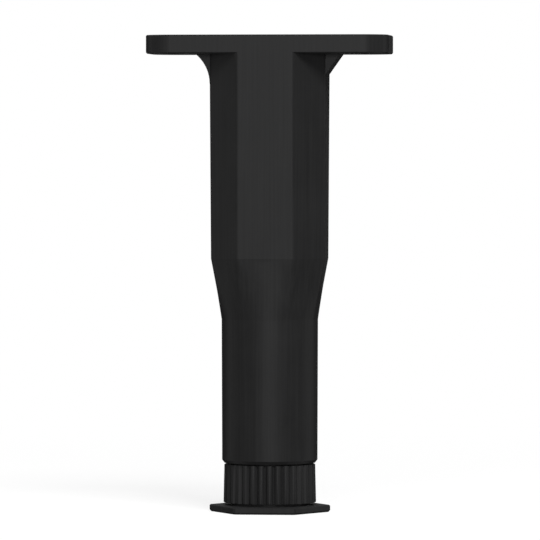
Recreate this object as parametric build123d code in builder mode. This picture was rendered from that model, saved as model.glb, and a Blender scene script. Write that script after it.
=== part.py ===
from build123d import *
from math import asin, degrees
import os

# Adjustable bed support leg, in millimetres. It stands on its foot plate with the leg's axis on Z,
# the long side of the fixing plate along X and its front towards -Y.

# Foot plate: a thin hexagon with a flat side to the front
foot_corner_width = 51.4
foot_thickness = 3.0
foot_edge_radius = 1.5
foot_top_chamfer = 0.4
foot_low_chamfer = 0.8

# Bearing ring and snap pivot on the foot plate
bearing_diameter = 32.0
bearing_height = 1.05
pivot_diameter = 14.0
pivot_bore = 8.0
pivot_lip = 0.6
pivot_lip_height = 2.0
pivot_slot = 2.0
pivot_clearance = 0.1
lip_clearance = 0.3

# Ribbed grip of the adjusting screw
grip_diameter = 38.9
grip_draft = 0.35  # how far each side comes in from the bottom to the top
grip_height = 16.05
grip_floor = 4.0
grip_edge_chamfer = 0.5
rib_count = 32
rib_width = 1.9
rib_height = 0.9
rib_edge_chamfer = 0.5

# Stem of the adjusting screw, to the crests of its thread
screw_diameter = 32.6
screw_length = 46.0
screw_wall = 3.0
screw_lead_in = 1.2
screw_web = 2.4
screw_clearance = 0.3
screw_end_room = 2.0

# Round tube of the leg body
grip_gap = 0.6
tube_length = 60.3
tube_diameter = 40.5
tube_draft = 0.2  # how far each side comes in from the shoulder to the lower end
tube_edge_width = 0.95
tube_edge_height = 1.3
bore_roof = 3.0

# Column: a rectangle with its corners cut off, and the shoulder that turns it into the round tube
shoulder_length = 25.5
column_length = 85.7
column_width = 49.0
column_depth = 42.6
column_cut = 12.5
column_draft = 0.55  # how far each side comes in from the plate to the shoulder
column_edge_radius = 2.0
column_wall = 3.2
column_web = 2.6
core_edge_radius = 1.5

# Fixing plate, as deep as the column, so that front and back are flush
plate_length = 102.0
plate_thickness = 7.8
plate_corner_radius = 11.0
plate_low_chamfer = 0.5
plate_top_chamfer = 0.4
plate_rim = 2.6
plate_floor = 2.8
plate_rib = 2.4

# Flares under the plate: a hollow curve on the left, a straight bevel on the right
flare_radius = 15.9
flare_height = 12.5
bevel_height = 8.4
bevel_reach = 5.9

# Screw holes, countersunk from below
hole_diameter = 5.0
hole_spacing_x = 79.0
hole_spacing_y = 24.0
countersink_diameter = 10.0
countersink_angle = 90.0
boss_diameter = 11.0

# Heights of the pieces, from the floor up
bearing_top = foot_thickness + bearing_height
grip_top = bearing_top + grip_height
tube_bottom = grip_top + grip_gap
tube_top = tube_bottom + tube_length
column_bottom = tube_top + shoulder_length
plate_bottom = column_bottom + column_length
plate_top = plate_bottom + plate_thickness

# Sizes that follow from the ones above
plate_depth = column_depth
column_side_flat = column_depth - 2 * column_cut
column_low_width = column_width - 2 * column_draft
column_low_depth = column_depth - 2 * column_draft
column_low_cut = column_cut - column_draft
bore_diameter = screw_diameter + 2 * screw_clearance
bore_depth = screw_length - grip_gap + screw_end_room
core_bottom = tube_bottom + bore_depth + bore_roof
core_cut = column_cut - (2 - 2**0.5) * column_wall  # keeps the wall even behind the cut corners


def cut_rectangle(width, depth, cut, edge_radius):
    """Draw a rectangle with its corners cut off and its edges softened."""
    Rectangle(width, depth)
    chamfer(vertices(), length=cut)
    fillet(vertices(), radius=edge_radius)


def corner_plane(height, width, side_flat):
    """Give a level plane whose X axis points at a corner, where a circle drawn on it starts."""
    return Plane((0, 0, height), x_dir=(-width, side_flat, 0), z_dir=(0, 0, 1))


def column_half_width(height):
    """Give half the column's width at a height between the shoulder and the plate."""
    share = (plate_bottom - height) / column_length
    return column_width / 2 - share * column_draft


# Foot plate
with BuildPart() as foot_plate:
    with BuildSketch():
        RegularPolygon(foot_corner_width / 2, 6)
        fillet(vertices(), radius=foot_edge_radius)
    extrude(amount=foot_thickness)
    chamfer(edges().group_by(Axis.Z)[-1], length=foot_top_chamfer)
    chamfer(edges().group_by(Axis.Z)[0], length=foot_low_chamfer)

    # Bearing ring, pivot and snap lip, with the lip's lead-in cone on top
    pivot_radius = pivot_diameter / 2
    lip_bottom = bearing_top + grip_floor + lip_clearance
    lip_top = lip_bottom + pivot_lip_height
    with BuildSketch(Plane.XZ):
        with BuildLine():
            Polyline(
                (0, foot_thickness / 2),
                (bearing_diameter / 2, foot_thickness / 2),
                (bearing_diameter / 2, bearing_top),
                (pivot_radius, bearing_top),
                (pivot_radius, lip_bottom),
                (pivot_radius + pivot_lip, lip_bottom),
                (pivot_radius + pivot_lip, lip_bottom + pivot_lip_height / 3),
                (pivot_radius - pivot_lip, lip_top),
                (0, lip_top),
                close=True,
            )
        make_face()
    revolve(axis=Axis.Z)

    # Core of the pivot, open below, and the cross slot that lets the lip spring in
    with BuildSketch():
        Circle(pivot_bore / 2)
    extrude(amount=lip_top, mode=Mode.SUBTRACT)
    with BuildSketch(Plane.XY.offset(bearing_top)):
        Rectangle(2 * pivot_diameter, pivot_slot)
        Rectangle(pivot_slot, 2 * pivot_diameter)
    extrude(amount=lip_top - bearing_top, mode=Mode.SUBTRACT)

# One rib of the grip, on the side towards +X: it leans in with the grip's taper, and both ends are too long
grip_low_radius = grip_diameter / 2
grip_top_radius = grip_low_radius - grip_draft
rib_line = (-grip_draft, 0, grip_height)
with BuildPart() as rib:
    with BuildSketch(Plane((grip_low_radius, 0, bearing_top), x_dir=(1, 0, 0), z_dir=rib_line)):
        Rectangle(2 * rib_height, rib_width, align=(Align.MAX, Align.CENTER))
        chamfer(vertices().group_by(Axis.X)[-1], length=rib_edge_chamfer)
    extrude(amount=2 * grip_height, both=True)

# Adjusting screw: ribbed grip and stem in one moulding
with BuildPart() as adjusting_screw:
    with BuildSketch(Plane.XZ):
        with BuildLine():
            Polyline(
                (0, bearing_top),
                (grip_low_radius - rib_height, bearing_top),
                (grip_top_radius - rib_height, grip_top),
                (0, grip_top),
                close=True,
            )
        make_face()
    revolve(axis=Axis.Z)
    with PolarLocations(0, rib_count):
        add(rib.part)

    # The ribs end flush with the ring, and both ends are chamfered all round
    with BuildSketch(Plane.XZ):
        with BuildLine():
            Polyline(
                (0, bearing_top),
                (grip_low_radius - grip_edge_chamfer, bearing_top),
                (grip_low_radius + rib_height, bearing_top + grip_edge_chamfer + rib_height),
                (grip_top_radius + rib_height, grip_top - grip_edge_chamfer - rib_height),
                (grip_top_radius - grip_edge_chamfer, grip_top),
                (0, grip_top),
                close=True,
            )
        make_face()
    revolve(axis=Axis.Z, mode=Mode.INTERSECT)

    # Stem with its lead-in at the top
    stem_radius = screw_diameter / 2
    stem_top = grip_top + screw_length
    with BuildSketch(Plane.XZ):
        with BuildLine():
            Polyline(
                (0, grip_top - grip_height / 2),
                (stem_radius, grip_top - grip_height / 2),
                (stem_radius, stem_top - screw_lead_in),
                (stem_radius - screw_lead_in, stem_top),
                (0, stem_top),
                close=True,
            )
        make_face()
    revolve(axis=Axis.Z)

    # Hollow of the stem, left in four cells by a cross web, above the floor that the pivot passes
    with BuildSketch(Plane.XY.offset(stem_top)):
        Circle(stem_radius - screw_wall)
        Rectangle(screw_diameter, screw_web, mode=Mode.SUBTRACT)
        Rectangle(screw_web, screw_diameter, mode=Mode.SUBTRACT)
    hollow_bottom = bearing_top + grip_floor
    extrude(amount=hollow_bottom - stem_top, mode=Mode.SUBTRACT)
    lip_room = pivot_radius + pivot_lip + lip_clearance
    with BuildSketch(Plane.XY.offset(hollow_bottom)):
        Circle(lip_room)
    extrude(amount=lip_clearance + pivot_lip_height + lip_clearance, mode=Mode.SUBTRACT)
    with BuildSketch(Plane.XY.offset(bearing_top)):
        Circle(pivot_radius + pivot_clearance)
    extrude(amount=grip_floor, mode=Mode.SUBTRACT)

# Hollows of the column, parted by the cross web: a rectangle with cut corners above, round below
with BuildPart() as column_core:
    core_diameter = tube_diameter - 2 * column_wall
    core_low_width = column_low_width - 2 * column_wall
    core_low_depth = column_low_depth - 2 * column_wall
    core_low_cut = core_cut - column_draft
    core_side_flat = core_low_depth - 2 * core_low_cut
    with BuildSketch(Plane.XY.offset(core_bottom)):
        Circle(core_diameter / 2)
    extrude(amount=tube_top - core_bottom)
    with BuildSketch(corner_plane(tube_top, core_low_width, core_side_flat)):
        Circle(core_diameter / 2)
    with BuildSketch(Plane.XY.offset(column_bottom)):
        cut_rectangle(core_low_width, core_low_depth, core_low_cut, core_edge_radius)
    loft(ruled=True)
    with BuildSketch(Plane.XY.offset(column_bottom)):
        cut_rectangle(core_low_width, core_low_depth, core_low_cut, core_edge_radius)
    with BuildSketch(Plane.XY.offset(plate_top)):
        core_width = column_width - 2 * column_wall
        core_depth = column_depth - 2 * column_wall
        cut_rectangle(core_width, core_depth, core_cut, core_edge_radius)
    loft(ruled=True)
    with BuildSketch(Plane.XY.offset(core_bottom)):
        Rectangle(column_width, column_web)
        Rectangle(column_web, column_width)
    extrude(amount=plate_top - core_bottom, mode=Mode.SUBTRACT)

# Outline of the column where it stands up through the plate
with BuildSketch() as column_outline:
    cut_rectangle(column_width, column_depth, column_cut, column_edge_radius)

# Leg body: plate, column, shoulder, tube and flares in one moulding
with BuildPart() as leg_body:
    with BuildSketch(Plane.XY.offset(plate_bottom)):
        RectangleRounded(plate_length, plate_depth, plate_corner_radius)
    extrude(amount=plate_thickness)
    chamfer(edges().group_by(Axis.Z)[0], length=plate_low_chamfer)
    chamfer(edges().group_by(Axis.Z)[-1], length=plate_top_chamfer)
    with BuildSketch(Plane.XY.offset(plate_bottom)):
        add(column_outline.sketch)
    extrude(amount=plate_thickness / 2)

    # Column and shoulder, with straight sides from the plate to the round end
    with BuildSketch(Plane.XY.offset(column_bottom)):
        cut_rectangle(column_low_width, column_low_depth, column_low_cut, column_edge_radius)
    with BuildSketch(Plane.XY.offset(plate_bottom)):
        add(column_outline.sketch)
    loft(ruled=True)
    with BuildSketch(corner_plane(tube_top, column_low_width, column_side_flat)):
        Circle(tube_diameter / 2)
    with BuildSketch(Plane.XY.offset(column_bottom)):
        cut_rectangle(column_low_width, column_low_depth, column_low_cut, column_edge_radius)
    loft(ruled=True)

    # Round tube, a little slimmer at its chamfered lower end
    tube_low_radius = tube_diameter / 2 - tube_draft
    with BuildSketch(Plane.XZ):
        with BuildLine():
            Polyline(
                (0, tube_bottom),
                (tube_low_radius - tube_edge_width, tube_bottom),
                (tube_low_radius, tube_bottom + tube_edge_height),
                (tube_diameter / 2, tube_top),
                (0, tube_top),
                close=True,
            )
        make_face()
    revolve(axis=Axis.Z)

    # Flares, as wide as the flat sides that they stand on and rooted in the wall and the plate
    root = (column_low_width - column_wall) / 2
    flare_top = plate_bottom + plate_floor / 2
    flare_bottom = plate_bottom - flare_height
    with BuildSketch(Plane.XZ):
        with BuildLine():
            curve_start = -column_half_width(flare_bottom)
            hollow_curve = CenterArc(
                (curve_start - flare_radius, flare_bottom),
                flare_radius,
                0,
                degrees(asin(flare_height / flare_radius)),
            )
            curve_end = hollow_curve @ 1
            Polyline(
                curve_end,
                (curve_end.X, flare_top),
                (-root, flare_top),
                (-root, flare_bottom),
                (curve_start, flare_bottom),
            )
        make_face()
        with BuildLine():
            bevel_bottom = plate_bottom - bevel_height
            Polyline(
                (root, bevel_bottom),
                (column_half_width(bevel_bottom), bevel_bottom),
                (column_half_width(plate_bottom) + bevel_reach, plate_bottom),
                (column_half_width(plate_bottom) + bevel_reach, flare_top),
                (root, flare_top),
                close=True,
            )
        make_face()
    extrude(amount=column_side_flat / 2, both=True)

    # Column hollows, and the bore that the stem turns in
    add(column_core.part, mode=Mode.SUBTRACT)
    with BuildSketch(Plane.XY.offset(tube_bottom)):
        Circle(bore_diameter / 2)
    extrude(amount=bore_depth, mode=Mode.SUBTRACT)

    # Recesses in the top of the plate, between rim, column, screw bosses and ribs
    with BuildSketch(Plane.XY.offset(plate_top)):
        RectangleRounded(
            plate_length - 2 * plate_rim,
            plate_depth - 2 * plate_rim,
            plate_corner_radius - plate_rim,
        )
        add(column_outline.sketch, mode=Mode.SUBTRACT)
        Rectangle(plate_length, plate_rib, mode=Mode.SUBTRACT)
        with GridLocations(hole_spacing_x, 0, 2, 1):
            Rectangle(plate_rib, plate_depth, mode=Mode.SUBTRACT)
        with GridLocations(hole_spacing_x, hole_spacing_y, 2, 2):
            Circle(boss_diameter / 2, mode=Mode.SUBTRACT)
    extrude(amount=plate_floor - plate_thickness, mode=Mode.SUBTRACT)

    # Screw holes, driven from below
    with Locations(Plane((0, 0, plate_bottom), x_dir=(1, 0, 0), z_dir=(0, 0, -1))):
        with GridLocations(hole_spacing_x, hole_spacing_y, 2, 2):
            CounterSinkHole(
                hole_diameter / 2,
                countersink_diameter / 2,
                depth=plate_thickness,
                counter_sink_angle=countersink_angle,
            )

os.makedirs("parts", exist_ok=True)
foot_plate.part.label = "foot_plate"
export_step(foot_plate.part, "parts/foot_plate.step")
adjusting_screw.part.label = "adjusting_screw"
export_step(adjusting_screw.part, "parts/adjusting_screw.step")
leg_body.part.label = "leg_body"
export_step(leg_body.part, "parts/leg_body.step")
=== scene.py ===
import math

import bmesh
import bpy
from bpy.props import FloatProperty, FloatVectorProperty, IntProperty, PointerProperty
from mathutils import Matrix, Vector


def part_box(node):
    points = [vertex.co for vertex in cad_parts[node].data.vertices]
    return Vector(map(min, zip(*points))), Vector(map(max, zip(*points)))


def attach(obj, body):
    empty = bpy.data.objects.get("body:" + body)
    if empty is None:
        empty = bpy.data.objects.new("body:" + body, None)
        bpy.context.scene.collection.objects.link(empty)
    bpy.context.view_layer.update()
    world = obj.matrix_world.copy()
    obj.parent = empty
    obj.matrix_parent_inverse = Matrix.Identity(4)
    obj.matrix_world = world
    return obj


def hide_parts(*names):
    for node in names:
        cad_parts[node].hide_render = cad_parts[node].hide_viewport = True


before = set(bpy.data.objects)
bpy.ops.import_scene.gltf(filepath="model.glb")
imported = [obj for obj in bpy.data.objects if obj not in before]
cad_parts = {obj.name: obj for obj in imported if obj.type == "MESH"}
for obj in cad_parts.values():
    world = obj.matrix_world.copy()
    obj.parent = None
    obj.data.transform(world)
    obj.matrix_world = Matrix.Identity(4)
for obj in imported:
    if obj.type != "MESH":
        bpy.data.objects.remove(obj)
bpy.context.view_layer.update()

bl_info = {
    "name": "Adjustable Bed Support Leg",
    "version": (1, 0, 0),
    "blender": (4, 5, 0),
    "location": "3D View > Sidebar > Bed Leg",
    "description": "Moulded black plastic, ribbed adjusting screw and studio for a bed support leg",
    "category": "Object",
}

MM = 0.001
FULL_TURN = 2 * math.pi
WELD_DISTANCE = 0.001 * MM
SMOOTH_ANGLE = math.radians(32)
WHITE = (1.0, 1.0, 1.0, 1.0)

# Steps of the curved surfaces
CREST_STEPS = 4
ROOT_STEPS = 2
THREAD_STEPS = 72
CELL_STEPS = 96

# Fineness of the plastic's grain, streaks and clouds, and the share of clouds over streaks
GRAIN_DETAIL = 2.0
GRAIN_ROUGHNESS = 0.55
STREAK_DETAIL = 3.0
CLOUD_DETAIL = 4.0
CLOUD_ROUGHNESS = 0.6
CLOUD_SHARE = 0.45

# Part of the noise's range that goes from the dark and smooth end to the light and matt one
TONE_LOW = 0.35
TONE_HIGH = 0.65

# How far the skin faces away where its shine starts to go, and where it has gone
FADE_START = 0.3
FADE_END = 0.8

# Each piece has its own stretch of the pattern
LEG_PATTERN_SHIFT = (0.0, 0.0, 0.0)
SCREW_PATTERN_SHIFT = (0.31, 0.17, 0.05)
FOOT_PATTERN_SHIFT = (0.12, 0.43, 0.09)

FOOT_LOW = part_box("foot_plate")[0]
SCREW_LOW, SCREW_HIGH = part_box("adjusting_screw")
LEG_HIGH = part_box("leg_body")[1]


def length(name, description, default):
    """Give a property for a size in metres."""
    return FloatProperty(
        name=name,
        description=description,
        default=default,
        min=0.0,
        precision=5,
        subtype="DISTANCE",
        unit="LENGTH",
    )


def angle(name, description, degrees):
    """Give a property for an angle, with its default in degrees."""
    return FloatProperty(
        name=name,
        description=description,
        default=math.radians(degrees),
        subtype="ANGLE",
        unit="ROTATION",
    )


def share(name, description, default):
    """Give a property for a plain number from nought to one."""
    return FloatProperty(
        name=name,
        description=description,
        default=default,
        min=0.0,
        max=1.0,
        precision=3,
        subtype="FACTOR",
    )


def number(name, description, default):
    """Give a property for a plain number."""
    return FloatProperty(name=name, description=description, default=default, min=0.0)


def colour(name, description, default):
    """Give a property for a linear colour."""
    return FloatVectorProperty(
        name=name,
        description=description,
        default=default,
        size=3,
        min=0.0,
        max=1.0,
        subtype="COLOR",
    )


class BedLegPlasticSettings(bpy.types.PropertyGroup):
    """Finish of the moulded plastic."""

    dark_colour: colour("Dark colour", "Plastic in the duller streaks", (0.0128, 0.0128, 0.0130))
    light_colour: colour("Light colour", "Plastic in the paler streaks", (0.0184, 0.0184, 0.0186))
    smooth_roughness: share("Smooth roughness", "Roughness where the mould was polished", 0.35)
    matt_roughness: share("Matt roughness", "Roughness where the mould was duller", 0.42)
    glancing_roughness: share("Glancing roughness", "Roughness of the skin seen edge on", 1.0)
    specular: share("Specular level", "Strength of the sheen seen head on", 0.052)
    grain_size: length("Grain size", "Width of one grain of the spark-eroded skin", 0.28 * MM)
    grain_depth: length("Grain depth", "Height of the skin's grain", 0.005 * MM)
    streak_width: length("Streak width", "Width of the polishing streaks", 0.9 * MM)
    streak_length: length("Streak length", "Length of the polishing streaks", 60.0 * MM)
    cloud_size: length("Cloud size", "Width of the soft dull and shiny patches", 22.0 * MM)


class BedLegScrewSettings(bpy.types.PropertyGroup):
    """Sizes of the adjusting screw that the scene models anew."""

    grip_radius: length("Grip radius", "Radius to the ribs at the grip's lower end", SCREW_HIGH.x)
    grip_height: length("Grip height", "Height of the ribbed ring", 16.05 * MM)
    grip_draft: length("Grip draft", "How far the ring comes in towards its top", 0.35 * MM)
    grip_edge: length("Grip edge", "Chamfer at both ends of the ribs", 0.15 * MM)
    rib_count: IntProperty(name="Rib count", description="Ribs round the grip", default=32, min=3)
    rib_height: length("Rib height", "Depth of the grooves between ribs", 1.4 * MM)
    rib_width: length("Rib width", "Width of a rib at its crest", 1.5 * MM)
    rib_slope: length("Rib slope", "How far a flank runs out to the rib's foot", 0.95 * MM)
    rib_turn: share("Rib turn", "Turn of the ribs from +X, as a share of their pitch", 0.5)
    rib_round: length("Rib rounding", "Rounding along a rib's crest", 0.6 * MM)
    root_round: length("Root rounding", "Rounding along a rib's foot", 0.03 * MM)
    thread_radius: length("Thread radius", "Radius to the thread's crest", 16.3 * MM)
    thread_depth: length("Thread depth", "Depth of the thread", 1.5 * MM)
    thread_pitch: length("Thread pitch", "Rise of the thread in one turn", 6.0 * MM)
    crest_width: length("Crest width", "Width of the thread's crest", 2.0 * MM)
    flank_width: length("Flank width", "Run of each flank along the axis", 0.9 * MM)
    crest_round: length("Crest rounding", "Softening of the thread's crest", 0.25 * MM)
    neck_height: length("Neck height", "Plain neck between grip and thread", 0.8 * MM)
    lead_in: length("Lead-in", "Chamfer on the thread's upper end", 1.2 * MM)
    wall: length("Wall", "Wall of the stem below the thread", 3.0 * MM)
    web: length("Web", "Thickness of the cross web in the stem", 2.4 * MM)
    pivot_radius: length("Pivot hole", "Radius of the hole for the foot's pivot", 7.1 * MM)
    pivot_depth: length("Pivot depth", "Depth of the hollow for the foot's pivot", 6.6 * MM)
    pivot_floor: length("Pivot floor", "Thickness of the floor that the pivot passes", 4.0 * MM)
    lip_room: length("Lip room", "Radius of the room for the pivot's snap lip", 7.9 * MM)
    cell_floor: length("Cell floor", "Floor between the pivot's hollow and the cells", 1.0 * MM)


class BedLegStageSettings(bpy.types.PropertyGroup):
    """Floor, light and camera."""

    floor_size: length("Floor size", "Side of the square floor", 40.0)
    floor_colour: colour("Floor colour", "Colour of the pale floor", (0.9, 0.9, 0.9))
    bounce_colour: colour("Bounce colour", "Floor in the light it throws back", (0.15, 0.15, 0.15))
    shadow_reach: length("Shadow reach", "Distance at which the floor has faded to white", 0.7)
    floor_glow: share("Floor glow", "Share of white in the floor beside the leg", 0.84)
    ambient: number("Ambient", "Strength of the even light from all round", 0.01)
    lamp_distance: length("Lamp distance", "Distance of the softboxes from the leg", 2.6)
    key_power: number("Key power", "Power of the softbox above on the right, in watts", 56.0)
    key_size: length("Key size", "Side of the softbox above on the right", 0.9)
    key_turn: angle("Key turn", "Turn of the key softbox to the right", 25.0)
    key_rise: angle("Key rise", "Height of the key softbox above level", 44.0)
    front_power: number("Front power", "Power of the low strip light in front, in watts", 33.0)
    front_width: length("Front width", "Width of the low strip light in front", 1.6)
    front_height: length("Front height", "Height of the low strip light in front", 0.66)
    front_turn: angle("Front turn", "Turn of the strip light to the right", 4.0)
    front_rise: angle("Front rise", "Height of the strip light above level", 5.6)
    back_power: number("Back power", "Power of the softbox behind on the left, in watts", 36.0)
    back_size: length("Back size", "Side of the softbox behind on the left", 0.8)
    back_turn: angle("Back turn", "Turn of the back softbox to the right", -165.0)
    back_rise: angle("Back rise", "Height of the back softbox above level", 36.0)
    camera_turn: angle("Camera turn", "Turn of the camera to the right", 6.0)
    camera_rise: angle("Camera rise", "Height of the camera above level", 1.25)
    camera_distance: length("Camera distance", "Distance from camera to leg", 2.32)
    camera_lens: number("Lens", "Focal length in millimetres", 368.3)
    aim_side: FloatProperty(
        name="Aim to the side",
        description="How far right of the leg's axis the camera aims",
        default=0.08 * MM,
        precision=5,
        subtype="DISTANCE",
        unit="LENGTH",
    )
    aim_height: length("Aim height", "Height above the floor that the camera aims at", 101.55 * MM)


def add_node(tree, kind, inputs=None, **attributes):
    """Add a shader node, set its attributes and set or link its inputs."""
    node = tree.nodes.new(kind)
    for name, value in attributes.items():
        setattr(node, name, value)
    for name, value in (inputs or {}).items():
        if isinstance(value, bpy.types.NodeSocket):
            tree.links.new(value, node.inputs[name])
        else:
            node.inputs[name].default_value = value
    return node


def new_material(name):
    """Give an empty node material with its output node."""
    material = bpy.data.materials.new(name)
    material.use_nodes = True
    tree = material.node_tree
    tree.nodes.clear()
    output = tree.nodes.new("ShaderNodeOutputMaterial")
    return material, tree, output


def moulded_plastic(name, look, shift):
    """Make satin black plastic: fine grain, polishing streaks along the leg and soft clouds."""
    material, tree, output = new_material(name)
    coords = add_node(tree, "ShaderNodeTexCoord")
    place = add_node(
        tree, "ShaderNodeMapping", {"Vector": coords.outputs["Object"], "Location": shift}
    )
    point = place.outputs["Vector"]

    # Fine skin of the mould, as height
    grain = add_node(
        tree,
        "ShaderNodeTexNoise",
        {
            "Vector": point,
            "Scale": 1 / look.grain_size,
            "Detail": GRAIN_DETAIL,
            "Roughness": GRAIN_ROUGHNESS,
        },
    )
    skin = add_node(
        tree,
        "ShaderNodeBump",
        {"Strength": 1.0, "Distance": look.grain_depth, "Height": grain.outputs["Fac"]},
    )

    # Streaks drawn out along the leg, and clouds over them
    drawn_out = add_node(
        tree,
        "ShaderNodeMapping",
        {"Vector": point, "Scale": (1.0, 1.0, look.streak_width / look.streak_length)},
    )
    streaks = add_node(
        tree,
        "ShaderNodeTexNoise",
        {
            "Vector": drawn_out.outputs["Vector"],
            "Scale": 1 / look.streak_width,
            "Detail": STREAK_DETAIL,
        },
    )
    clouds = add_node(
        tree,
        "ShaderNodeTexNoise",
        {
            "Vector": point,
            "Scale": 1 / look.cloud_size,
            "Detail": CLOUD_DETAIL,
            "Roughness": CLOUD_ROUGHNESS,
        },
    )
    blend = add_node(
        tree,
        "ShaderNodeMix",
        {"Factor": CLOUD_SHARE, "A": streaks.outputs["Fac"], "B": clouds.outputs["Fac"]},
        data_type="FLOAT",
    )
    tone = add_node(
        tree,
        "ShaderNodeMapRange",
        {"Value": blend.outputs["Result"], "From Min": TONE_LOW, "From Max": TONE_HIGH},
    )
    tint = add_node(
        tree,
        "ShaderNodeMix",
        {
            "Factor": tone.outputs["Result"],
            "A": (*look.dark_colour, 1.0),
            "B": (*look.light_colour, 1.0),
        },
        data_type="RGBA",
    )
    gloss = add_node(
        tree,
        "ShaderNodeMapRange",
        {
            "Value": blend.outputs["Result"],
            "From Min": TONE_LOW,
            "From Max": TONE_HIGH,
            "To Min": look.smooth_roughness,
            "To Max": look.matt_roughness,
        },
    )

    # The grain hides the shine when the skin is seen edge on
    facing = add_node(tree, "ShaderNodeLayerWeight", {"Blend": 0.5})
    edge_on = add_node(
        tree,
        "ShaderNodeMapRange",
        {"Value": facing.outputs["Facing"], "From Min": FADE_START, "From Max": FADE_END},
        interpolation_type="SMOOTHSTEP",
    )
    dull = add_node(
        tree,
        "ShaderNodeMix",
        {
            "Factor": edge_on.outputs["Result"],
            "A": gloss.outputs["Result"],
            "B": look.glancing_roughness,
        },
        data_type="FLOAT",
    )
    surface = add_node(
        tree,
        "ShaderNodeBsdfPrincipled",
        {
            "Base Color": tint.outputs["Result"],
            "Roughness": dull.outputs["Result"],
            "Specular IOR Level": look.specular,
            "Normal": skin.outputs["Normal"],
        },
    )
    tree.links.new(surface.outputs["BSDF"], output.inputs["Surface"])
    return material


def dress_node(name, material):
    """Give a CAD node its finish."""
    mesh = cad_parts[name].data
    mesh.materials.clear()
    mesh.materials.append(material)


def finished_piece(name, bm, material, body):
    """Turn a bmesh into a shaded object that moves with a body."""
    mesh = bpy.data.meshes.new(name)
    bm.to_mesh(mesh)
    bm.free()
    mesh.materials.append(material)
    mesh.shade_smooth()
    mesh.set_sharp_from_angle(angle=SMOOTH_ANGLE)
    piece = bpy.data.objects.new(name, mesh)
    bpy.context.scene.collection.objects.link(piece)
    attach(piece, body)
    return piece


def radius_of(point):
    """Give a point's distance from the leg's axis."""
    return math.hypot(point.x, point.y)


def set_radius(point, radius):
    """Move a point to a distance from the leg's axis, on its own level."""
    scale = radius / radius_of(point)
    point.x *= scale
    point.y *= scale


def edges_at(bm, height):
    """Give the edges that lie on one level."""
    return [
        edge
        for edge in bm.edges
        if all(abs(vert.co.z - height) < WELD_DISTANCE for vert in edge.verts)
    ]


def open_edges_at(bm, height):
    """Give the open edges that lie on one level."""
    return [edge for edge in edges_at(bm, height) if edge.is_boundary]


def extrude_rim(bm, edges, rise=0.0, radius=None, largest=None):
    """Extrude open edges, lift them, and set or limit their distance from the axis."""
    made = bmesh.ops.extrude_edge_only(bm, edges=edges)["geom"]
    for vert in made:
        if not isinstance(vert, bmesh.types.BMVert):
            continue
        vert.co.z += rise
        if radius is not None:
            set_radius(vert.co, radius)
        elif largest is not None and radius_of(vert.co) > largest:
            set_radius(vert.co, largest)
    return [edge for edge in made if isinstance(edge, bmesh.types.BMEdge)]


def rib_outline(bm, size, height):
    """Draw half a groove, a rib towards +X and half a groove as a line on one level."""
    floor_radius = size.grip_radius - size.rib_height
    half_pitch = math.pi / size.rib_count
    half_crest = size.rib_width / 2
    root_angle = math.asin((half_crest + size.rib_slope) / floor_radius)
    crest_angle = math.asin(half_crest / size.grip_radius)
    half = [
        (size.grip_radius, 0.0),
        (size.grip_radius, crest_angle),
        (floor_radius, root_angle),
        (floor_radius, half_pitch),
    ]
    polar = [(radius, -turn) for radius, turn in half[:0:-1]] + half
    verts = [
        bm.verts.new((radius * math.cos(turn), radius * math.sin(turn), height))
        for radius, turn in polar
    ]
    return [bm.edges.new(pair) for pair in zip(verts, verts[1:])]


def upright_edges_at(bm, radius, tolerance):
    """Give the upright edges whose lower end lies at a distance from the axis."""
    found = []
    for edge in bm.edges:
        low, high = sorted(edge.verts, key=lambda vert: vert.co.z)
        upright = high.co.z - low.co.z > tolerance
        if upright and not edge.is_boundary and abs(radius_of(low.co) - radius) < tolerance:
            found.append(edge)
    return found


def round_edges(bm, edges, offset, segments):
    """Round edges over with a bevel."""
    bmesh.ops.bevel(
        bm,
        geom=edges,
        offset=offset,
        offset_type="OFFSET",
        segments=segments,
        profile=0.5,
        affect="EDGES",
        clamp_overlap=True,
        material=-1,
    )


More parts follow.
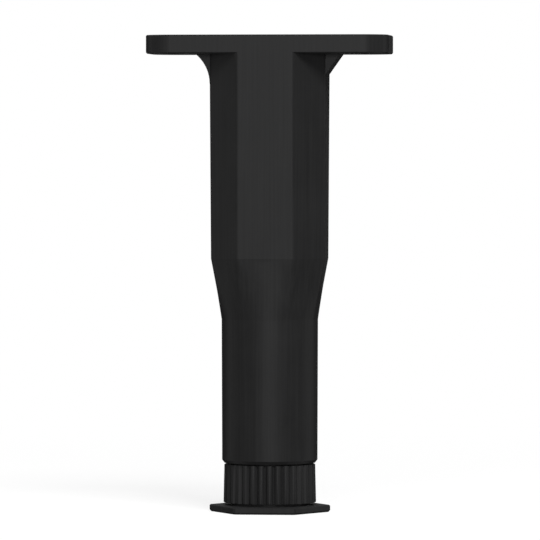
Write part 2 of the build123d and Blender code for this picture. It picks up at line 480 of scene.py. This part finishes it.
def ribbed_ring(bm, size, bottom, top, neck_radius):
    """Model the ribbed ring with its chamfered ends and the pivot's hollow, open at the neck."""
    low = bottom + size.grip_edge
    high = top - size.grip_edge
    wall = rib_outline(bm, size, low)
    made = bmesh.ops.extrude_edge_only(bm, edges=wall)["geom"]
    for vert in (item for item in made if isinstance(item, bmesh.types.BMVert)):
        vert.co.z = high
        set_radius(vert.co, radius_of(vert.co) - size.grip_draft)

    # Crests and feet are rounded before the ends are added, and the crest's middle line stays
    near = size.rib_height / 4
    crests = [
        edge
        for edge in upright_edges_at(bm, size.grip_radius, near)
        if abs(edge.verts[0].co.y) > WELD_DISTANCE
    ]
    round_edges(bm, crests, size.rib_round, CREST_STEPS)
    feet = upright_edges_at(bm, size.grip_radius - size.rib_height, near)
    round_edges(bm, feet, size.root_round, ROOT_STEPS)

    # Upper end, then lower end with the hole for the pivot and the room for its lip
    end_radius = size.grip_radius - size.grip_edge
    top_radius = end_radius - size.grip_draft
    rim = extrude_rim(bm, open_edges_at(bm, high), size.grip_edge, largest=top_radius)
    extrude_rim(bm, rim, radius=neck_radius)
    rim = extrude_rim(bm, open_edges_at(bm, low), -size.grip_edge, largest=end_radius)
    rim = extrude_rim(bm, rim, radius=size.pivot_radius)
    rim = extrude_rim(bm, rim, size.pivot_floor)
    rim = extrude_rim(bm, rim, radius=size.lip_room)
    extrude_rim(bm, rim, size.pivot_depth - size.pivot_floor)

    # One rib repeats all round, and then all turn together
    pitch = FULL_TURN / size.rib_count
    bmesh.ops.spin(
        bm,
        geom=bm.verts[:] + bm.edges[:] + bm.faces[:],
        axis=(0, 0, 1),
        angle=FULL_TURN - pitch,
        steps=size.rib_count - 1,
        use_duplicate=True,
    )
    bmesh.ops.remove_doubles(bm, verts=bm.verts[:], dist=WELD_DISTANCE)
    turned = Matrix.Rotation(size.rib_turn * pitch, 3, "Z")
    bmesh.ops.rotate(bm, verts=bm.verts[:], cent=(0, 0, 0), matrix=turned)
    bmesh.ops.contextual_create(bm, geom=open_edges_at(bm, bottom + size.pivot_depth))


def threaded_stem(size, bottom, top):
    """Sweep the right-hand thread's profile and trim it at the neck and at the lead-in."""
    bm = bmesh.new()
    root_radius = size.thread_radius - size.thread_depth
    root_width = size.thread_pitch - size.crest_width - 2 * size.flank_width
    crest_start = root_width + size.flank_width
    crest_end = crest_start + size.crest_width
    profile = [
        (root_radius, 0.0),
        (root_radius, root_width),
        (size.thread_radius - size.crest_round, crest_start - size.crest_round / 2),
        (size.thread_radius, crest_start + size.crest_round),
        (size.thread_radius, crest_end - size.crest_round),
        (size.thread_radius - size.crest_round, crest_end + size.crest_round / 2),
        (root_radius, size.thread_pitch),
    ]

    # The sweep starts two turns low, so that the cut below finds whole turns
    start = bottom - 2 * size.thread_pitch
    verts = [bm.verts.new((radius, 0.0, start + rise)) for radius, rise in profile]
    line = [bm.edges.new(pair) for pair in zip(verts, verts[1:])]
    turns = math.ceil((top - start) / size.thread_pitch) + 1
    bmesh.ops.spin(
        bm,
        geom=verts + line,
        axis=(0, 0, 1),
        dvec=(0, 0, size.thread_pitch / THREAD_STEPS),
        angle=FULL_TURN * turns,
        steps=THREAD_STEPS * turns,
    )
    bmesh.ops.remove_doubles(bm, verts=bm.verts[:], dist=WELD_DISTANCE)

    # Level cuts trim both ends and mark where the run-out and the lead-in begin
    run_out = bottom + size.thread_depth
    for height, below, above in (
        (bottom, True, False),
        (top, False, True),
        (run_out, False, False),
        ((bottom + run_out) / 2, False, False),
        (top - size.lead_in, False, False),
        (top - size.lead_in / 2, False, False),
    ):
        bmesh.ops.bisect_plane(
            bm,
            geom=bm.verts[:] + bm.edges[:] + bm.faces[:],
            dist=WELD_DISTANCE,
            plane_co=(0, 0, height),
            plane_no=(0, 0, 1),
            clear_inner=below,
            clear_outer=above,
        )

    # The thread grows out of the neck, and its upper end is chamfered
    for vert in bm.verts:
        run_out_limit = root_radius + vert.co.z - bottom
        lead_in_limit = size.thread_radius - (vert.co.z - (top - size.lead_in))
        largest = min(run_out_limit, lead_in_limit)
        if radius_of(vert.co) > largest:
            set_radius(vert.co, largest)
    return bm


def with_edges_and_verts(faces):
    """Give faces together with their edges and corners, each once."""
    edges = dict.fromkeys(edge for face in faces for edge in face.edges)
    verts = dict.fromkeys(vert for face in faces for vert in face.verts)
    return [*faces, *edges, *verts]


def faces_at(parts):
    """Give the faces that meet at edges or corners, each once."""
    return list(dict.fromkeys(face for part in parts for face in part.link_faces))


def stem_cells(bm, size, bottom, top):
    """Close the stem's upper end around four cells that are parted by a cross web."""
    root_radius = size.thread_radius - size.thread_depth
    rim = open_edges_at(bm, top)
    before = set(bm.edges)
    disc = bmesh.ops.create_circle(
        bm,
        cap_ends=True,
        segments=CELL_STEPS,
        radius=root_radius - size.wall,
        matrix=Matrix.Translation((0, 0, top)),
    )
    for normal in ((1, 0, 0), (0, 1, 0)):
        cell = faces_at(vert for vert in disc["verts"] if vert.is_valid)
        bmesh.ops.bisect_plane(
            bm,
            geom=with_edges_and_verts(cell),
            dist=WELD_DISTANCE,
            plane_co=Vector(normal) * size.web / 2,
            plane_no=normal,
            clear_inner=True,
        )
    outline = [edge for edge in bm.edges if edge not in before]
    bmesh.ops.delete(bm, geom=faces_at(outline), context="FACES_ONLY")

    # The quarter's outline goes down to the cell's floor, and then all round
    walls = extrude_rim(bm, outline, bottom - top)
    floor = bmesh.ops.contextual_create(bm, geom=walls)["faces"]
    bmesh.ops.spin(
        bm,
        geom=with_edges_and_verts([*floor, *faces_at(outline)]),
        axis=(0, 0, 1),
        angle=FULL_TURN * 3 / 4,
        steps=3,
        use_duplicate=True,
    )
    mouths = [edge for edge in open_edges_at(bm, top) if edge not in rim]
    bmesh.ops.triangle_fill(bm, edges=rim + mouths, use_beauty=True)


def adjusting_screw_mesh(size):
    """Model the ribbed grip and its threaded stem as one closed moulding."""
    bottom = SCREW_LOW.z
    top = SCREW_HIGH.z
    grip_top = bottom + size.grip_height
    neck_top = grip_top + size.neck_height
    root_radius = size.thread_radius - size.thread_depth
    stem = threaded_stem(size, neck_top, top)
    stem_cells(stem, size, bottom + size.pivot_depth + size.cell_floor, top)
    extrude_rim(stem, open_edges_at(stem, neck_top), grip_top - neck_top)
    stem_mesh = bpy.data.meshes.new("threaded_stem")
    stem.to_mesh(stem_mesh)
    stem.free()

    bm = bmesh.new()
    ribbed_ring(bm, size, bottom, grip_top, root_radius + size.neck_height)
    bm.from_mesh(stem_mesh)
    bpy.data.meshes.remove(stem_mesh)
    bmesh.ops.bridge_loops(bm, edges=open_edges_at(bm, grip_top))
    bmesh.ops.remove_doubles(bm, verts=bm.verts[:], dist=WELD_DISTANCE)
    bmesh.ops.recalc_face_normals(bm, faces=bm.faces[:])
    return bm


def round_the_leg(distance, turn, rise, centre):
    """Give the place at a distance from a point, turned to the right of the front and raised."""
    level = distance * math.cos(rise)
    away = Vector((level * math.sin(turn), -level * math.cos(turn), distance * math.sin(rise)))
    return centre + away


def look_at(item, target):
    """Turn a lamp or camera towards a point."""
    item.rotation_mode = "QUATERNION"
    item.rotation_quaternion = (target - item.location).to_track_quat("-Z", "Y")


def add_softbox(name, power, width, height, place, target):
    """Add an area lamp that faces a point."""
    lamp = bpy.data.lights.new(name, "AREA")
    lamp.shape = "RECTANGLE"
    lamp.size = width
    lamp.size_y = height
    lamp.energy = power
    softbox = bpy.data.objects.new(name, lamp)
    softbox.location = place
    look_at(softbox, target)
    bpy.context.scene.collection.objects.link(softbox)


def background_rays(tree):
    """Give a value that is one for the rays that should see the white background."""
    path = add_node(tree, "ShaderNodeLightPath")
    seen = path.outputs["Is Camera Ray"]
    for kind in ("Is Glossy Ray", "Is Transmission Ray"):
        both = add_node(tree, "ShaderNodeMath", operation="MAXIMUM")
        tree.links.new(seen, both.inputs[0])
        tree.links.new(path.outputs[kind], both.inputs[1])
        seen = both.outputs["Value"]
    return seen


def white_surround(stage):
    """Make a world that looks white and lights the leg evenly."""
    world = bpy.data.worlds.new("white_surround")
    world.use_nodes = True
    tree = world.node_tree
    tree.nodes.clear()
    strength = add_node(
        tree,
        "ShaderNodeMapRange",
        {"Value": background_rays(tree), "To Min": stage.ambient, "To Max": 1.0},
    )
    background = add_node(
        tree,
        "ShaderNodeBackground",
        {"Color": WHITE, "Strength": strength.outputs["Result"]},
    )
    output = add_node(tree, "ShaderNodeOutputWorld")
    tree.links.new(background.outputs["Background"], output.inputs["Surface"])
    return world


def pale_floor(stage):
    """Make a pale floor that shows the leg's shadow and fades to white further out."""
    material, tree, output = new_material("pale_floor")
    coords = add_node(tree, "ShaderNodeTexCoord")
    distance = add_node(tree, "ShaderNodeVectorMath", operation="LENGTH")
    tree.links.new(coords.outputs["Object"], distance.inputs[0])
    fade = add_node(
        tree,
        "ShaderNodeMapRange",
        {
            "Value": distance.outputs["Value"],
            "From Max": stage.shadow_reach,
            "To Min": stage.floor_glow,
            "To Max": 1.0,
        },
        interpolation_type="SMOOTHSTEP",
    )
    seen = background_rays(tree)
    shown = add_node(tree, "ShaderNodeMath", operation="MULTIPLY")
    tree.links.new(fade.outputs["Result"], shown.inputs[0])
    tree.links.new(seen, shown.inputs[1])
    tint = add_node(
        tree,
        "ShaderNodeMix",
        {
            "Factor": seen,
            "A": (*stage.bounce_colour, 1.0),
            "B": (*stage.floor_colour, 1.0),
        },
        data_type="RGBA",
    )
    paint = add_node(
        tree, "ShaderNodeBsdfDiffuse", {"Color": tint.outputs["Result"], "Roughness": 1.0}
    )
    white = add_node(tree, "ShaderNodeEmission", {"Color": WHITE, "Strength": 1.0})
    mix = add_node(tree, "ShaderNodeMixShader", {"Fac": shown.outputs["Value"]})
    tree.links.new(paint.outputs["BSDF"], mix.inputs[1])
    tree.links.new(white.outputs["Emission"], mix.inputs[2])
    tree.links.new(mix.outputs["Shader"], output.inputs["Surface"])
    return material


class BEDLEG_OT_finish_body(bpy.types.Operator):
    """Give the leg body its moulded plastic."""

    bl_idname = "bed_leg.finish_body"
    bl_label = "Finish Leg Body"
    bl_options = {"REGISTER", "UNDO"}

    def execute(self, context):
        look = context.scene.bed_leg_plastic
        dress_node("leg_body", moulded_plastic("leg_plastic_satin", look, LEG_PATTERN_SHIFT))
        return {"FINISHED"}


class BEDLEG_OT_model_screw(bpy.types.Operator):
    """Model the ribbed grip and threaded stem of the adjusting screw."""

    bl_idname = "bed_leg.model_screw"
    bl_label = "Model Adjusting Screw"
    bl_options = {"REGISTER", "UNDO"}

    def execute(self, context):
        look = context.scene.bed_leg_plastic
        plastic = moulded_plastic("screw_plastic_satin", look, SCREW_PATTERN_SHIFT)
        bm = adjusting_screw_mesh(context.scene.bed_leg_screw)
        if any(edge.is_boundary for edge in bm.edges):
            raise RuntimeError("the adjusting screw's mesh is not closed")
        screw = finished_piece("ribbed_adjusting_screw", bm, plastic, "screw")
        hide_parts("adjusting_screw")
        return {"FINISHED"}


class BEDLEG_OT_finish_foot(bpy.types.Operator):
    """Give the foot plate its moulded plastic."""

    bl_idname = "bed_leg.finish_foot"
    bl_label = "Finish Foot Plate"
    bl_options = {"REGISTER", "UNDO"}

    def execute(self, context):
        look = context.scene.bed_leg_plastic
        dress_node("foot_plate", moulded_plastic("foot_plastic_satin", look, FOOT_PATTERN_SHIFT))
        return {"FINISHED"}


class BEDLEG_OT_set_stage(bpy.types.Operator):
    """Set up the pale floor, soft studio light and camera."""

    bl_idname = "bed_leg.set_stage"
    bl_label = "Set Stage"
    bl_options = {"REGISTER", "UNDO"}

    def execute(self, context):
        scene = context.scene
        stage = scene.bed_leg_stage
        scene.view_settings.view_transform = "Standard"
        scene.world = white_surround(stage)

        bm = bmesh.new()
        bmesh.ops.create_grid(bm, x_segments=1, y_segments=1, size=stage.floor_size / 2)
        mesh = bpy.data.meshes.new("floor")
        bm.to_mesh(mesh)
        bm.free()
        mesh.materials.append(pale_floor(stage))
        floor = bpy.data.objects.new("floor", mesh)
        scene.collection.objects.link(floor)

        centre = Vector((0, 0, (FOOT_LOW.z + LEG_HIGH.z) / 2))
        key = round_the_leg(stage.lamp_distance, stage.key_turn, stage.key_rise, centre)
        add_softbox("key_softbox", stage.key_power, stage.key_size, stage.key_size, key, centre)
        front = round_the_leg(stage.lamp_distance, stage.front_turn, stage.front_rise, centre)
        add_softbox(
            "front_strip", stage.front_power, stage.front_width, stage.front_height, front, centre
        )
        back = round_the_leg(stage.lamp_distance, stage.back_turn, stage.back_rise, centre)
        add_softbox(
            "back_softbox", stage.back_power, stage.back_size, stage.back_size, back, centre
        )

        lens = bpy.data.cameras.new("photo_camera")
        lens.lens = stage.camera_lens
        camera = bpy.data.objects.new("photo_camera", lens)
        aim = Vector((stage.aim_side, 0, stage.aim_height))
        camera.location = round_the_leg(
            stage.camera_distance, stage.camera_turn, stage.camera_rise, aim
        )
        look_at(camera, aim)
        scene.collection.objects.link(camera)
        scene.camera = camera
        return {"FINISHED"}


class BEDLEG_PT_tools(bpy.types.Panel):
    """Lists the steps that dress the leg."""

    bl_idname = "BEDLEG_PT_tools"
    bl_label = "Bed Leg"
    bl_space_type = "VIEW_3D"
    bl_region_type = "UI"
    bl_category = "Bed Leg"

    def draw(self, context):
        for step in STEPS:
            self.layout.operator(step.bl_idname)


STEPS = (
    BEDLEG_OT_finish_body,
    BEDLEG_OT_model_screw,
    BEDLEG_OT_finish_foot,
    BEDLEG_OT_set_stage,
)
GROUPS = {
    "bed_leg_plastic": BedLegPlasticSettings,
    "bed_leg_screw": BedLegScrewSettings,
    "bed_leg_stage": BedLegStageSettings,
}


def register():
    """Add the settings, the operators and the panel."""
    for name, group in GROUPS.items():
        bpy.utils.register_class(group)
        setattr(bpy.types.Scene, name, PointerProperty(type=group))
    for step in (*STEPS, BEDLEG_PT_tools):
        bpy.utils.register_class(step)


def unregister():
    """Take the panel, the operators and the settings away again."""
    for step in (BEDLEG_PT_tools, *reversed(STEPS)):
        bpy.utils.unregister_class(step)
    for name, group in reversed(GROUPS.items()):
        delattr(bpy.types.Scene, name)
        bpy.utils.unregister_class(group)


def main():
    """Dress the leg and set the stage."""
    register()
    bpy.ops.bed_leg.finish_body()
    bpy.ops.bed_leg.model_screw()
    bpy.ops.bed_leg.finish_foot()
    bpy.ops.bed_leg.set_stage()


if __name__ == "__main__":
    main()
